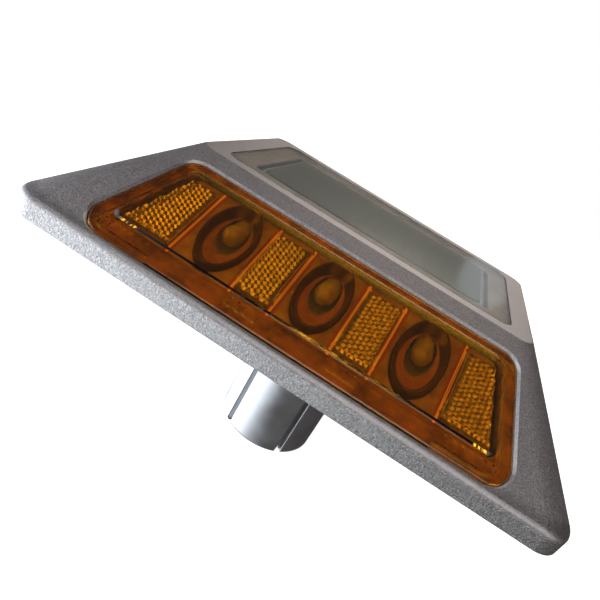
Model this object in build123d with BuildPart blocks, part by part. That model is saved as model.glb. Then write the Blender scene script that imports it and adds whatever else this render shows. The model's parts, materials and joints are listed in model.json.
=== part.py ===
"""Two-way solar raised pavement marker with a grooved anchoring shank, as an assembly."""

import math
import os

from build123d import *

os.makedirs("parts", exist_ok=True)

# Frame: origin at the centre of the underside, +Z up, front lens facing -Y. Millimetres.

# Body casting: a low truncated pyramid standing on a straight rim
body_width = 125.0
body_depth = 125.0
body_height = 22.5
rim_height = 4.7
top_width = 89.0
top_depth = 56.5
corner_radius = 5.5
top_corner_radius = 4.0
rim_edge_radius = 1.6
top_edge_radius = 0.7
foot_edge_radius = 0.5

# Solar window in the flat top
window_width = 77.6
window_depth = 49.0
window_corner = 3.6
window_gap = 0.3
cover_thickness = 3.0
cover_edge_radius = 0.3
seal_thickness = 0.5
seal_width = 5.5
cell_width = 62.0
cell_depth = 35.0
cell_thickness = 0.4
cell_corner = 1.5
cell_gap = 0.05
cell_board_margin = 1.0
cell_board_thickness = 0.8
cell_board_corner = 1.0
pad_margin = 1.0
pad_thickness = 0.6
ceiling_wall = 1.5

# Lenses in the two slopes; lengths up the slope are measured from the rim's top edge
lens_foot = 2.1
lens_height = 31.0
lens_foot_width = 98.2
lens_head_width = 83.8
lens_foot_radius = 5.0
lens_head_radius = 4.5
lens_gap = 0.25
lens_sink = 0.3
lens_thickness = 2.0
lens_panel_margin = 4.2
lens_panel_rise = 0.5
pocket_bevel = 0.5
pocket_bevel_angle = 45
gasket_thickness = 0.6
rib_thickness = 0.9
rib_depth = 1.8

# What stands behind each lens
bay_foot_inset = 5.9
bay_head_inset = 1.5
bay_side_ledge = 3.0
bay_corner = 2.0
bay_clearance = 0.4
prism_foot_margin = 2.5
prism_head_margin = 2.8
prism_thickness = 1.8
prism_inner_start = 7.8
prism_inner_width = 7.9
prism_outer_start = 32.3
prism_side_inset = 4.1
prism_gap = 0.05
backer_thickness = 1.2
led_spacing = 23.8
cup_half_width = 5.6
cup_foot_margin = 2.3
cup_head_margin = 0.9
cup_wall = 0.5
cup_floor_side_inset = 1.4
cup_floor_end_inset = 2.9
cup_floor = 0.8
cup_gap = 0.2

# Light-emitting diodes
led_radius = 2.5
led_flange_radius = 2.9
led_flange_thickness = 1.0
led_length = 8.6
led_tip_depth = 3.7
led_bore_gap = 0.3
led_bore_run_in = 2.0
lead_width = 0.5
lead_pitch = 2.54
lead_stub = 0.8
lead_hole_radius = 0.5

# Cavity and base plate
cavity_width = 90.0
cavity_depth = 60.0
cavity_corner = 3.0
plate_ledge = 3.5
plate_gap = 0.3
plate_recess = 0.3
plate_thickness = 2.0
base_gasket_thickness = 0.6
post_radius = 3.6
post_inset = 3.4
base_screw_radius = 1.5
base_screw_length = 9.0
base_screw_head_radius = 2.9
base_screw_angle = 90
drive_radius = 1.2
drive_depth = 1.2
screw_hole_gap = 0.2
screw_tip = 0.4

# Batteries under the circuit board
battery_radius = 5.1
battery_length = 44.5
battery_edge_radius = 0.6
battery_nub_radius = 1.9
battery_nub_length = 0.8
cradle_wall = 0.8
cradle_gap = 0.15
cradle_boss_gap = 0.45
cradle_height = 5.5
tab_thickness = 0.3
tab_width = 5.0

# Circuit board and what it carries
board_width = 73.0
board_depth = 55.0
board_thickness = 1.2
board_gap = 0.3
board_corner = 2.0
board_screw_x = 33.0
board_screw_y = 23.5
board_screw_radius = 1.25
board_screw_length = 3.4
board_screw_head_radius = 2.2
board_screw_head_height = 1.4
board_screw_crown = 0.6
board_post_radius = 2.6
led_board_width = 64.0
led_board_thickness = 1.2
led_board_gap = 0.3
led_board_foot = 4.6
pin_radius = 0.3
pin_overlap = 3.5
pin_offset = 28.0
wire_radius = 0.5
wire_spacing = 2.4
wire_x = -27.0
grommet_radius = 2.6
grommet_gap = 0.05
pad_hole_gap = 0.6

# Components on the circuit board, beyond the battery ends
component_run = 7.5
component_offset = 9.0
chip_width = 4.0
chip_depth = 5.0
chip_height = 1.5
chip_standoff = 0.1
chip_leg_span = 5.4
chip_leg_pitch = 1.27
chip_leg_count = 4
chip_leg_length = 1.5
chip_leg_width = 0.4
chip_leg_height = 0.9
inductor_side = 7.0
inductor_height = 4.0
inductor_corner = 1.5
inductor_edge_radius = 0.5
capacitor_radius = 2.5
capacitor_height = 7.0
capacitor_edge_radius = 0.4
resistor_length = 2.0
resistor_width = 1.2
resistor_height = 0.5
resistor_shift = 3.0
resistor_pitch_x = 4.0
resistor_pitch_y = 5.0

# Shank and the bolt that holds it up against the boss
boss_radius = 10.0
shank_radius = 15.5
shank_length = 54.0
shank_end_radius = 2.0
groove_width = 1.8
groove_depth = 2.4
groove_edge_radius = 0.3
groove_count = 5
groove_start_angle = 90
bolt_radius = 4.0
bolt_length = 30.0
bolt_head_radius = 6.5
bolt_head_height = 8.0
bolt_hex = 6.0
bolt_point_chamfer = 0.8
bolt_head_chamfer = 0.6
bolt_clearance = 0.4
thread_clearance = 0.05
thread_run_out = 1.5
shank_web = 16.0
washer_radius = 7.2
washer_thickness = 1.6
counterbore_radius = 7.8
ring_boss_distance = 2.0
ring_section = 0.95
ring_gap = 0.1
plate_hole_gap = 0.3
cut_overrun = 1.0

# Heights and places that follow from the sizes above
slope_run = (body_depth - top_depth) / 2
slope_rise = body_height - rim_height
slope_lean = math.atan2(slope_rise, slope_run)
ledge_z = body_height - cover_thickness - seal_thickness
cell_top_z = ledge_z + seal_thickness - cell_gap
cell_board_z = cell_top_z - cell_thickness - cell_board_thickness
pad_z = cell_board_z - pad_thickness
ceiling_z = pad_z - ceiling_wall
plate_top_z = plate_recess + plate_thickness
plate_ledge_z = plate_top_z + base_gasket_thickness
cradle_z = plate_top_z
battery_offset = boss_radius + cradle_boss_gap + cradle_wall + cradle_gap + battery_radius
battery_z = cradle_z + cradle_wall + battery_radius
board_z = battery_z + battery_radius + board_gap
board_top_z = board_z + board_thickness
plate_width = cavity_width + 2 * plate_ledge - 2 * plate_gap
plate_depth = cavity_depth + 2 * plate_ledge - 2 * plate_gap
bay_foot = lens_foot + bay_foot_inset
bay_head = lens_foot + lens_height - bay_head_inset
prism_foot = bay_foot + prism_foot_margin
prism_head = bay_head - prism_head_margin
cup_half_height = (bay_head - bay_foot - cup_foot_margin - cup_head_margin) / 2
cup_centre = bay_foot + cup_foot_margin + cup_half_height
cup_floor_half_width = cup_half_width - cup_floor_side_inset
cup_floor_half_height = cup_half_height - cup_floor_end_inset
ring_radius = boss_radius + ring_boss_distance
component_x = battery_length / 2 + component_run
pocket_depth = lens_sink + lens_thickness + gasket_thickness
prism_face = lens_sink + lens_thickness + prism_gap
backer_face = prism_face + prism_thickness + prism_gap
bay_depth = backer_face + backer_thickness + bay_clearance
cup_depth = backer_face + backer_thickness - prism_face
led_board_face = cavity_depth / 2 - led_board_gap
led_board_head = ceiling_z - led_board_gap
led_places = [-led_spacing, 0.0, led_spacing]
post_places = [
    (x * (cavity_width / 2 - post_inset), y * (cavity_depth / 2 - post_inset))
    for x in (-1, 1)
    for y in (-1, 1)
]
board_screw_places = [(x * board_screw_x, y * board_screw_y) for x in (-1, 1) for y in (-1, 1)]
sides = {"front": 1, "rear": -1}


def slope_point(side, up, depth):
    """Return the point on the slope's middle line, up the slope and depth below its face."""
    along = -body_depth / 2 + up * math.cos(slope_lean) + depth * math.sin(slope_lean)
    height = rim_height + up * math.sin(slope_lean) - depth * math.cos(slope_lean)
    return Vector(0, side * along, height)


def slope_plane(side, depth=0.0):
    """Return the slope's plane: local x along the rim, local y up the slope, z outward."""
    outward = (0, -side * math.sin(slope_lean), math.cos(slope_lean))
    return Plane(origin=slope_point(side, 0, depth), x_dir=(side, 0, 0), z_dir=outward)


def cup_plane(side, depth):
    """Return a plane parallel to the slope whose origin is the middle LED cup's centre."""
    outward = (0, -side * math.sin(slope_lean), math.cos(slope_lean))
    return Plane(origin=slope_point(side, cup_centre, depth), x_dir=(side, 0, 0), z_dir=outward)


def level_plane(side, distance, height):
    """Return an upright plane across the part, facing outward at the given side."""
    return Plane(origin=(0, -side * distance, height), x_dir=(side, 0, 0), z_dir=(0, -side, 0))


def trapezium(foot, head, foot_width, head_width, mode=Mode.ADD):
    """Draw a trapezium between two heights up the slope."""
    Polygon(
        (-foot_width / 2, foot),
        (foot_width / 2, foot),
        (head_width / 2, head),
        (-head_width / 2, head),
        align=None,
        mode=mode,
    )


def lens_outline():
    """Draw the lens's outline with its rounded corners."""
    trapezium(lens_foot, lens_foot + lens_height, lens_foot_width, lens_head_width)
    fillet(vertices().group_by(Axis.Y)[0], radius=lens_foot_radius)
    fillet(vertices().group_by(Axis.Y)[-1], radius=lens_head_radius)


def lens_width_at(up):
    """Return the lens's width at a height up the slope."""
    share = (up - lens_foot) / lens_height
    return lens_foot_width + (lens_head_width - lens_foot_width) * share


def bay_shape(shrink=0.0, mode=Mode.ADD):
    """Draw the opening behind the lens, smaller all round by shrink."""
    foot_width = lens_width_at(bay_foot) - 2 * bay_side_ledge - 2 * shrink
    head_width = lens_width_at(bay_head) - 2 * bay_side_ledge - 2 * shrink
    trapezium(bay_foot + shrink, bay_head - shrink, foot_width, head_width, mode=mode)


def prism_outlines():
    """Draw the four prism panels between the LED cups."""
    inner_end = prism_inner_start + prism_inner_width
    outer_foot_end = lens_width_at(prism_foot) / 2 - prism_side_inset
    outer_head_end = lens_width_at(prism_head) / 2 - prism_side_inset
    for hand in (-1, 1):
        Polygon(
            (hand * prism_inner_start, prism_foot),
            (hand * inner_end, prism_foot),
            (hand * inner_end, prism_head),
            (hand * prism_inner_start, prism_head),
            align=None,
        )
        Polygon(
            (hand * prism_outer_start, prism_foot),
            (hand * outer_foot_end, prism_foot),
            (hand * outer_head_end, prism_head),
            (hand * prism_outer_start, prism_head),
            align=None,
        )


def screw_profile(head_radius, head_height, crown, radius, length):
    """Draw half of a pan-head screw, its head below the origin and its shaft above."""
    Polygon(
        (0, -head_height),
        (head_radius - crown, -head_height),
        (head_radius, crown - head_height),
        (head_radius, 0),
        (radius, 0),
        (radius, length - screw_tip),
        (radius - screw_tip, length),
        (0, length),
        align=None,
    )


def countersunk_profile(head_radius, radius, length):
    """Draw half of a countersunk screw whose flat head starts at the origin."""
    Polygon(
        (0, 0),
        (head_radius, 0),
        (radius, head_radius - radius),
        (radius, length - screw_tip),
        (radius - screw_tip, length),
        (0, length),
        align=None,
    )


def save(builder, name):
    """Label a finished piece and write it as one STEP file."""
    builder.part.label = name
    export_step(builder.part, f"parts/{name}.step")


# Body casting
with BuildPart() as housing:
    with BuildSketch() as rim_plan:
        RectangleRounded(body_width, body_depth, corner_radius)
    extrude(amount=rim_height)
    with BuildSketch(Plane.XY.offset(rim_height)) as slope_foot_plan:
        RectangleRounded(body_width, body_depth, corner_radius)
    with BuildSketch(Plane.XY.offset(body_height)) as top_plan:
        RectangleRounded(top_width, top_depth, top_corner_radius)
    loft(ruled=True)
    fillet(edges().group_by(Axis.Z)[2], radius=rim_edge_radius)
    fillet(edges().group_by(Axis.Z)[-1], radius=top_edge_radius)
    fillet(edges().group_by(Axis.Z)[0], radius=foot_edge_radius)
    # Cavity, and the recess for the base plate and its gasket
    with BuildSketch() as cavity_plan:
        RectangleRounded(cavity_width, cavity_depth, cavity_corner)
    extrude(amount=ceiling_z, mode=Mode.SUBTRACT)
    with BuildSketch() as plate_recess_plan:
        RectangleRounded(
            plate_width + 2 * plate_gap, plate_depth + 2 * plate_gap, cavity_corner + plate_ledge
        )
    extrude(amount=plate_ledge_z, mode=Mode.SUBTRACT)
    # Centre boss that takes the shank bolt, posts for the base screws and for the board
    with BuildSketch() as boss_plan:
        Circle(boss_radius)
    extrude(amount=ceiling_z + ceiling_wall / 2)
    with BuildSketch(Plane.XY.offset(plate_ledge_z)) as post_plan:
        with Locations(*post_places):
            Circle(post_radius)
    extrude(amount=ceiling_z - plate_ledge_z + ceiling_wall / 2)
    with BuildSketch(Plane.XY.offset(board_top_z)) as board_post_plan:
        with Locations(*board_screw_places):
            Circle(board_post_radius)
    extrude(amount=ceiling_z - board_top_z + ceiling_wall / 2)
    # Stepped window: a ledge for the cover's seal, and a well for the cell
    with BuildSketch(Plane.XY.offset(ledge_z)) as window_plan:
        RectangleRounded(
            window_width + 2 * window_gap, window_depth + 2 * window_gap, window_corner + window_gap
        )
    extrude(amount=body_height - ledge_z + cut_overrun, mode=Mode.SUBTRACT)
    with BuildSketch(Plane.XY.offset(pad_z)) as well_plan:
        RectangleRounded(
            window_width - 2 * seal_width, window_depth - 2 * seal_width, window_corner / 2
        )
    extrude(amount=ledge_z - pad_z, mode=Mode.SUBTRACT)
    with BuildSketch(Plane.XY.offset(ceiling_z)) as grommet_hole_plan:
        with Locations((wire_x, 0)):
            Circle(grommet_radius)
    extrude(amount=pad_z - ceiling_z, mode=Mode.SUBTRACT)
    for side in sides.values():
        # Lens pocket with a bevelled mouth, the bay behind it, and the LED bores
        with BuildSketch(slope_plane(side)) as mouth_plan:
            lens_outline()
            offset(amount=lens_gap + pocket_bevel)
        extrude(amount=-pocket_bevel, taper=pocket_bevel_angle, mode=Mode.SUBTRACT)
        with BuildSketch(slope_plane(side)) as pocket_plan:
            lens_outline()
            offset(amount=lens_gap)
        extrude(amount=-pocket_depth, mode=Mode.SUBTRACT)
        with BuildSketch(slope_plane(side)) as bay_plan:
            bay_shape()
            fillet(vertices(), radius=bay_corner)
        extrude(amount=-bay_depth, mode=Mode.SUBTRACT)
        led_centre = slope_point(side, cup_centre, prism_face + cup_depth / 2)
        with BuildSketch(level_plane(side, cavity_depth / 2, led_centre.Z)) as bore_plan:
            with Locations(*[(x, 0) for x in led_places]):
                Circle(led_flange_radius + led_bore_gap)
        extrude(amount=abs(led_centre.Y) - cavity_depth / 2 + led_bore_run_in, mode=Mode.SUBTRACT)
    # Blind thread holes
    with BuildSketch() as bolt_hole_plan:
        Circle(bolt_radius + thread_clearance)
    extrude(amount=bolt_length - shank_web - washer_thickness + thread_run_out, mode=Mode.SUBTRACT)
    with BuildSketch(Plane.XY.offset(plate_ledge_z)) as base_hole_plan:
        with Locations(*post_places):
            Circle(base_screw_radius + thread_clearance)
    extrude(amount=base_screw_length, mode=Mode.SUBTRACT)
    with BuildSketch(Plane.XY.offset(board_top_z)) as board_hole_plan:
        with Locations(*board_screw_places):
            Circle(board_screw_radius + thread_clearance)
    extrude(amount=board_screw_length - board_thickness + screw_hole_gap, mode=Mode.SUBTRACT)
save(housing, "housing")

# Clear cover over the solar cell, flush with the top
with BuildPart() as solar_cover:
    with BuildSketch(Plane.XY.offset(body_height - cover_thickness)) as cover_plan:
        RectangleRounded(window_width, window_depth, window_corner)
    extrude(amount=cover_thickness)
    fillet(edges().group_by(Axis.Z)[-1], radius=cover_edge_radius)
save(solar_cover, "solar_cover")

# Bonding seal between the cover and the casting's ledge
with BuildPart() as cover_seal:
    with BuildSketch(Plane.XY.offset(ledge_z)) as seal_plan:
        RectangleRounded(window_width, window_depth, window_corner)
        RectangleRounded(
            window_width - 2 * seal_width,
            window_depth - 2 * seal_width,
            window_corner / 2,
            mode=Mode.SUBTRACT,
        )
    extrude(amount=seal_thickness)
save(cover_seal, "cover_seal")

# Photovoltaic cell
with BuildPart() as solar_cell:
    with BuildSketch(Plane.XY.offset(cell_top_z - cell_thickness)) as cell_plan:
        Rectangle(cell_width, cell_depth)
        chamfer(vertices(), length=cell_corner)
    extrude(amount=cell_thickness)
save(solar_cell, "solar_cell")

# Board that backs the cell and takes its two wires
with BuildPart() as cell_board:
    with BuildSketch(Plane.XY.offset(cell_board_z)) as cell_board_plan:
        RectangleRounded(
            cell_width + 2 * cell_board_margin,
            cell_depth + 2 * cell_board_margin,
            cell_board_corner,
        )
    extrude(amount=cell_board_thickness)
save(cell_board, "cell_board")

# Foam pad that presses the cell board up against the cover
with BuildPart() as cell_pad:
    with BuildSketch(Plane.XY.offset(pad_z)) as pad_plan:
        RectangleRounded(cell_width - 2 * pad_margin, cell_depth - 2 * pad_margin, cell_board_corner)
        with Locations((wire_x, 0)):
            Circle(grommet_radius + pad_hole_gap, mode=Mode.SUBTRACT)
    extrude(amount=pad_thickness)
save(cell_pad, "cell_pad")

# Rubber bush that seals the wires' hole in the ceiling
with BuildPart() as wire_grommet:
    with BuildSketch(Plane.XY.offset(ceiling_z)) as grommet_plan:
        with Locations((wire_x, 0)):
            Circle(grommet_radius - grommet_gap)
        with Locations((wire_x, -wire_spacing / 2), (wire_x, wire_spacing / 2)):
            Circle(wire_radius + grommet_gap, mode=Mode.SUBTRACT)
    extrude(amount=pad_z - ceiling_z)
save(wire_grommet, "wire_grommet")

# The cell's two wires, straight down to the circuit board
for colour, hand in (("red", -1), ("black", 1)):
    with BuildPart() as solar_wire:
        with BuildSketch(Plane.XY.offset(board_top_z)) as wire_plan:
            with Locations((wire_x, hand * wire_spacing / 2)):
                Circle(wire_radius)
        extrude(amount=cell_board_z - board_top_z)
    save(solar_wire, f"solar_wire_{colour}")

# Pieces that each slope has: lens, gasket, prisms, backer, cups, LEDs and their board
for name, side in sides.items():
    with BuildPart() as lens:
        with BuildSketch(slope_plane(side, lens_sink + lens_thickness)) as slab_plan:
            lens_outline()
        extrude(amount=lens_thickness)
        with BuildSketch(slope_plane(side, lens_sink)) as panel_plan:
            lens_outline()
            offset(amount=-lens_panel_margin)
        extrude(amount=lens_panel_rise)
        with BuildSketch(slope_plane(side, lens_sink + lens_thickness)) as rib_plan:
            inner_end = prism_inner_start + prism_inner_width
            rib_edges = (prism_inner_start - rib_thickness, inner_end, prism_outer_start - rib_thickness)
            for start in rib_edges:
                for hand in (-1, 1):
                    with Locations((hand * (start + rib_thickness / 2), prism_foot)):
                        Rectangle(
                            rib_thickness - 2 * prism_gap,
                            prism_head - prism_foot,
                            align=(Align.CENTER, Align.MIN),
                        )
        extrude(amount=-rib_depth)
    save(lens, f"{name}_lens")

    with BuildPart() as lens_gasket:
        with BuildSketch(slope_plane(side, pocket_depth)) as gasket_plan:
            lens_outline()
            bay_shape(mode=Mode.SUBTRACT)
        extrude(amount=gasket_thickness)
    save(lens_gasket, f"{name}_lens_gasket")

    with BuildPart() as prisms:
        with BuildSketch(slope_plane(side, prism_face)) as prism_plan:
            prism_outlines()
        extrude(amount=-prism_thickness)
    save(prisms, f"{name}_prisms")

    led_z = slope_point(side, cup_centre, prism_face + cup_depth / 2).Z

    with BuildPart() as backer:
        with BuildSketch(slope_plane(side, backer_face)) as backer_plan:
            bay_shape(shrink=bay_clearance)
            fillet(vertices(), radius=bay_corner)
            with Locations(*[(x, cup_centre) for x in led_places]):
                Ellipse(cup_half_width + cup_gap, cup_half_height + cup_gap, mode=Mode.SUBTRACT)
        extrude(amount=-backer_thickness)
        with BuildSketch(level_plane(side, cavity_depth / 2, led_z)) as led_way_plan:
            with Locations(*[(x, 0) for x in led_places]):
                Circle(led_flange_radius + cup_gap)
        extrude(amount=slope_run, mode=Mode.SUBTRACT)
    save(backer, f"{name}_backer")

    tip_reach = (led_tip_depth + (led_z - rim_height) * math.cos(slope_lean)) / math.sin(slope_lean)
    led_tip = body_depth / 2 - tip_reach
    led_back = led_tip - led_length

    with BuildPart() as cups:
        for x in led_places:
            with BuildSketch(cup_plane(side, prism_face)) as cup_outer_plan:
                with Locations((x, 0)):
                    Ellipse(cup_half_width, cup_half_height)
            extrude(amount=-cup_depth)
            with BuildSketch(cup_plane(side, prism_face)) as cup_mouth_plan:
                with Locations((x, 0)):
                    Ellipse(cup_half_width - cup_wall, cup_half_height - cup_wall)
            with BuildSketch(cup_plane(side, prism_face + cup_depth - cup_floor)) as cup_floor_plan:
                with Locations((x, 0)):
                    Ellipse(cup_floor_half_width, cup_floor_half_height)
            loft(mode=Mode.SUBTRACT)
        with BuildSketch(level_plane(side, cavity_depth / 2, led_z)) as led_hole_plan:
            with Locations(*[(x, 0) for x in led_places]):
                Circle(led_flange_radius + cup_gap)
        extrude(amount=slope_run, mode=Mode.SUBTRACT)
    save(cups, f"{name}_led_cups")

    with BuildPart() as leds:
        with BuildSketch(level_plane(side, led_back, led_z)) as flange_plan:
            with Locations(*[(x, 0) for x in led_places]):
                Circle(led_flange_radius)
        extrude(amount=led_flange_thickness)
        with BuildSketch(level_plane(side, led_back, led_z)) as led_plan:
            with Locations(*[(x, 0) for x in led_places]):
                Circle(led_radius)
        extrude(amount=led_length - led_radius)
        with Locations(*[(x, -side * (led_tip - led_radius), led_z) for x in led_places]):
            Sphere(led_radius)
    save(leds, f"{name}_leds")

    with BuildPart() as led_leads:
        with BuildSketch(level_plane(side, led_back, led_z)) as lead_plan:
            for x in led_places:
                with Locations((x - lead_pitch / 2, 0), (x + lead_pitch / 2, 0)):
                    Rectangle(lead_width, lead_width)
        extrude(amount=-(led_back - led_board_face + led_board_thickness + lead_stub))
    save(led_leads, f"{name}_led_leads")

    with BuildPart() as led_board:
        with BuildSketch(level_plane(side, led_board_face, led_z)) as led_board_plan:
            with Locations((0, (led_board_head + led_board_foot) / 2 - led_z)):
                Rectangle(led_board_width, led_board_head - led_board_foot)
            for x in led_places:
                with Locations((x - lead_pitch / 2, 0), (x + lead_pitch / 2, 0)):
                    Circle(lead_hole_radius, mode=Mode.SUBTRACT)
        extrude(amount=-led_board_thickness)
    save(led_board, f"{name}_led_board")

    with BuildPart() as link_pins:
        pin_face = led_board_face - led_board_thickness
        with BuildSketch(level_plane(side, pin_face, board_top_z + pin_radius)) as pin_plan:
            with Locations((-pin_offset, 0), (pin_offset, 0)):
                Circle(pin_radius)
        extrude(amount=-(pin_face - board_depth / 2 + pin_overlap))
    save(link_pins, f"{name}_link_pins")

# Circuit board, screwed up against the posts of the ceiling
with BuildPart() as main_board:
    with BuildSketch(Plane.XY.offset(board_z)) as board_plan:
        RectangleRounded(board_width, board_depth, board_corner)
        Circle(boss_radius + board_gap, mode=Mode.SUBTRACT)
        with Locations(*board_screw_places):
            Circle(board_screw_radius + screw_hole_gap, mode=Mode.SUBTRACT)
    extrude(amount=board_thickness)
save(main_board, "main_board")

with BuildPart() as board_screws:
    for x, y in board_screw_places:
        with BuildSketch(Plane(origin=(x, y, board_z), x_dir=(1, 0, 0), z_dir=(0, -1, 0))):
            screw_profile(
                board_screw_head_radius,
                board_screw_head_height,
                board_screw_crown,
                board_screw_radius,
                board_screw_length,
            )
        revolve(axis=Axis((x, y, 0), (0, 0, 1)))
save(board_screws, "board_screws")

# Components on the circuit board: the chip, inductor and capacitors hang under it
with BuildPart() as control_chip:
    with BuildSketch(Plane.XY.offset(board_z - chip_standoff - chip_height)) as chip_plan:
        with Locations((component_x, -component_offset)):
            Rectangle(chip_width, chip_depth)
    extrude(amount=chip_height)
    with BuildSketch(Plane.XY.offset(board_z - chip_leg_height)) as chip_leg_plan:
        with Locations((component_x, -component_offset)):
            with GridLocations(chip_leg_span, chip_leg_pitch, 2, chip_leg_count):
                Rectangle(chip_leg_length, chip_leg_width)
    extrude(amount=chip_leg_height)
save(control_chip, "control_chip")

with BuildPart() as boost_inductor:
    with BuildSketch(Plane.XY.offset(board_z - inductor_height)) as inductor_plan:
        with Locations((component_x, component_offset)):
            RectangleRounded(inductor_side, inductor_side, inductor_corner)
    extrude(amount=inductor_height)
    fillet(edges().group_by(Axis.Z)[0], radius=inductor_edge_radius)
save(boost_inductor, "boost_inductor")

with BuildPart() as capacitors:
    with BuildSketch(Plane.XY.offset(board_z - capacitor_height)) as capacitor_plan:
        with Locations((-component_x, -component_offset), (-component_x, component_offset)):
            Circle(capacitor_radius)
    extrude(amount=capacitor_height)
    fillet(edges().group_by(Axis.Z)[0], radius=capacitor_edge_radius)
save(capacitors, "capacitors")

with BuildPart() as chip_resistors:
    with BuildSketch(Plane.XY.offset(board_top_z)) as resistor_plan:
        with Locations((component_x - resistor_shift, 0)):
            with GridLocations(resistor_pitch_x, resistor_pitch_y, 2, 4):
                Rectangle(resistor_length, resistor_width)
    extrude(amount=resistor_height)
save(chip_resistors, "chip_resistors")

# Two cylindrical cells in open cradles, joined to the board by nickel tabs
for number, hand in (("one", -1), ("two", 1)):
    with BuildPart() as battery:
        start = Plane(
            origin=(-hand * battery_length / 2, hand * battery_offset, battery_z),
            x_dir=(0, 1, 0),
            z_dir=(hand, 0, 0),
        )
        with BuildSketch(start) as can_plan:
            Circle(battery_radius)
        extrude(amount=battery_length - battery_nub_length)
        fillet(edges(), radius=battery_edge_radius)
        with BuildSketch(start.offset(battery_length - battery_nub_length)) as nub_plan:
            Circle(battery_nub_radius)
        extrude(amount=battery_nub_length)
    save(battery, f"battery_{number}")

cradle_inner_length = battery_length + 2 * tab_thickness + 2 * cradle_gap
cradle_inner_depth = 2 * battery_radius + 2 * cradle_gap
with BuildPart() as battery_cradles:
    with BuildSketch(Plane.XY.offset(cradle_z)) as cradle_plan:
        with Locations((0, -battery_offset), (0, battery_offset)):
            Rectangle(cradle_inner_length + 2 * cradle_wall, cradle_inner_depth + 2 * cradle_wall)
    extrude(amount=cradle_height)
    with BuildSketch(Plane.XY.offset(cradle_z + cradle_wall)) as cradle_well_plan:
        with Locations((0, -battery_offset), (0, battery_offset)):
            Rectangle(cradle_inner_length, cradle_inner_depth)
    extrude(amount=cradle_height, mode=Mode.SUBTRACT)
save(battery_cradles, "battery_cradles")

with BuildPart() as battery_tabs:
    tab_x = battery_length / 2 + tab_thickness / 2
    with BuildSketch(Plane.XY.offset(cradle_z + cradle_wall + cradle_gap)) as tab_plan:
        for y in (-battery_offset, battery_offset):
            with Locations((-tab_x, y), (tab_x, y)):
                Rectangle(tab_thickness, tab_width)
    extrude(amount=board_z - cradle_z - cradle_wall - cradle_gap)
save(battery_tabs, "battery_tabs")

# Base plate, its gasket and its screws
with BuildPart() as base_plate:
    with BuildSketch(Plane.XY.offset(plate_recess)) as plate_plan:
        RectangleRounded(plate_width, plate_depth, cavity_corner + plate_ledge - plate_gap)
        Circle(boss_radius + plate_hole_gap, mode=Mode.SUBTRACT)
    extrude(amount=plate_thickness)
    for x, y in post_places:
        with Locations(Location((x, y, plate_recess), (180, 0, 0))):
            CounterSinkHole(
                radius=base_screw_radius + screw_hole_gap,
                counter_sink_radius=base_screw_head_radius + screw_hole_gap,
                depth=plate_thickness,
                counter_sink_angle=base_screw_angle,
            )
save(base_plate, "base_plate")

with BuildPart() as base_gasket:
    with BuildSketch(Plane.XY.offset(plate_top_z)) as base_gasket_plan:
        RectangleRounded(plate_width, plate_depth, cavity_corner + plate_ledge - plate_gap)
        RectangleRounded(cavity_width, cavity_depth, cavity_corner, mode=Mode.SUBTRACT)
    extrude(amount=base_gasket_thickness)
save(base_gasket, "base_gasket")

with BuildPart() as base_screws:
    for x, y in post_places:
        with BuildSketch(Plane(origin=(x, y, plate_recess), x_dir=(1, 0, 0), z_dir=(0, -1, 0))):
            countersunk_profile(base_screw_head_radius, base_screw_radius, base_screw_length)
        revolve(axis=Axis((x, y, 0), (0, 0, 1)))
        with BuildSketch(Plane.XY.offset(plate_recess)) as drive_plan:
            with Locations((x, y)):
                RegularPolygon(radius=drive_radius, side_count=6)
        extrude(amount=drive_depth, mode=Mode.SUBTRACT)
save(base_screws, "base_screws")

# Anchoring shank: five grooves down its sides and a deep bore for the bolt
with BuildPart() as shank:
    with BuildSketch() as shank_plan:
        Circle(shank_radius)
        groove_reach = 2 * groove_depth
        slot_centre = shank_radius - groove_depth + groove_width / 2 + groove_reach / 2
        with PolarLocations(slot_centre, groove_count, start_angle=groove_start_angle):
            SlotCenterToCenter(groove_reach, groove_width, mode=Mode.SUBTRACT)
        fillet(vertices().group_by(SortBy.DISTANCE)[-1], radius=groove_edge_radius)
    extrude(amount=-shank_length)
    with BuildSketch(Plane.XZ) as envelope_plan:
        Rectangle(shank_radius, shank_length, align=(Align.MIN, Align.MAX))
        fillet(vertices().sort_by(Axis.Y)[:2].sort_by(Axis.X)[-1], radius=shank_end_radius)
    revolve(axis=Axis.Z, mode=Mode.INTERSECT)
    # Clearance hole for the bolt, and its counterbore from below
    with BuildSketch() as bolt_way_plan:
        Circle(bolt_radius + bolt_clearance)
    extrude(amount=-shank_length, mode=Mode.SUBTRACT)
    with BuildSketch(Plane.XY.offset(-shank_web)) as counterbore_plan:
        Circle(counterbore_radius)
    extrude(amount=-(shank_length - shank_web), mode=Mode.SUBTRACT)
    # Groove for the sealing ring, which presses on the base plate
    with BuildSketch() as ring_groove_plan:
        Circle(ring_radius + ring_section + ring_gap)
        Circle(ring_radius - ring_section - ring_gap, mode=Mode.SUBTRACT)
    extrude(amount=-(2 * ring_section - plate_recess), mode=Mode.SUBTRACT)
save(shank, "shank")

with BuildPart() as shank_ring:
    ring_z = plate_recess - ring_section
    with BuildSketch(Plane.XZ) as ring_plan:
        with Locations((ring_radius, ring_z)):
            Circle(ring_section)
    revolve(axis=Axis.Z)
save(shank_ring, "shank_ring")

with BuildPart() as shank_washer:
    with BuildSketch(Plane.XY.offset(-shank_web - washer_thickness)) as washer_plan:
        Circle(washer_radius)
        Circle(bolt_radius + bolt_clearance / 2, mode=Mode.SUBTRACT)
    extrude(amount=washer_thickness)
save(shank_washer, "shank_washer")

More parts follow.
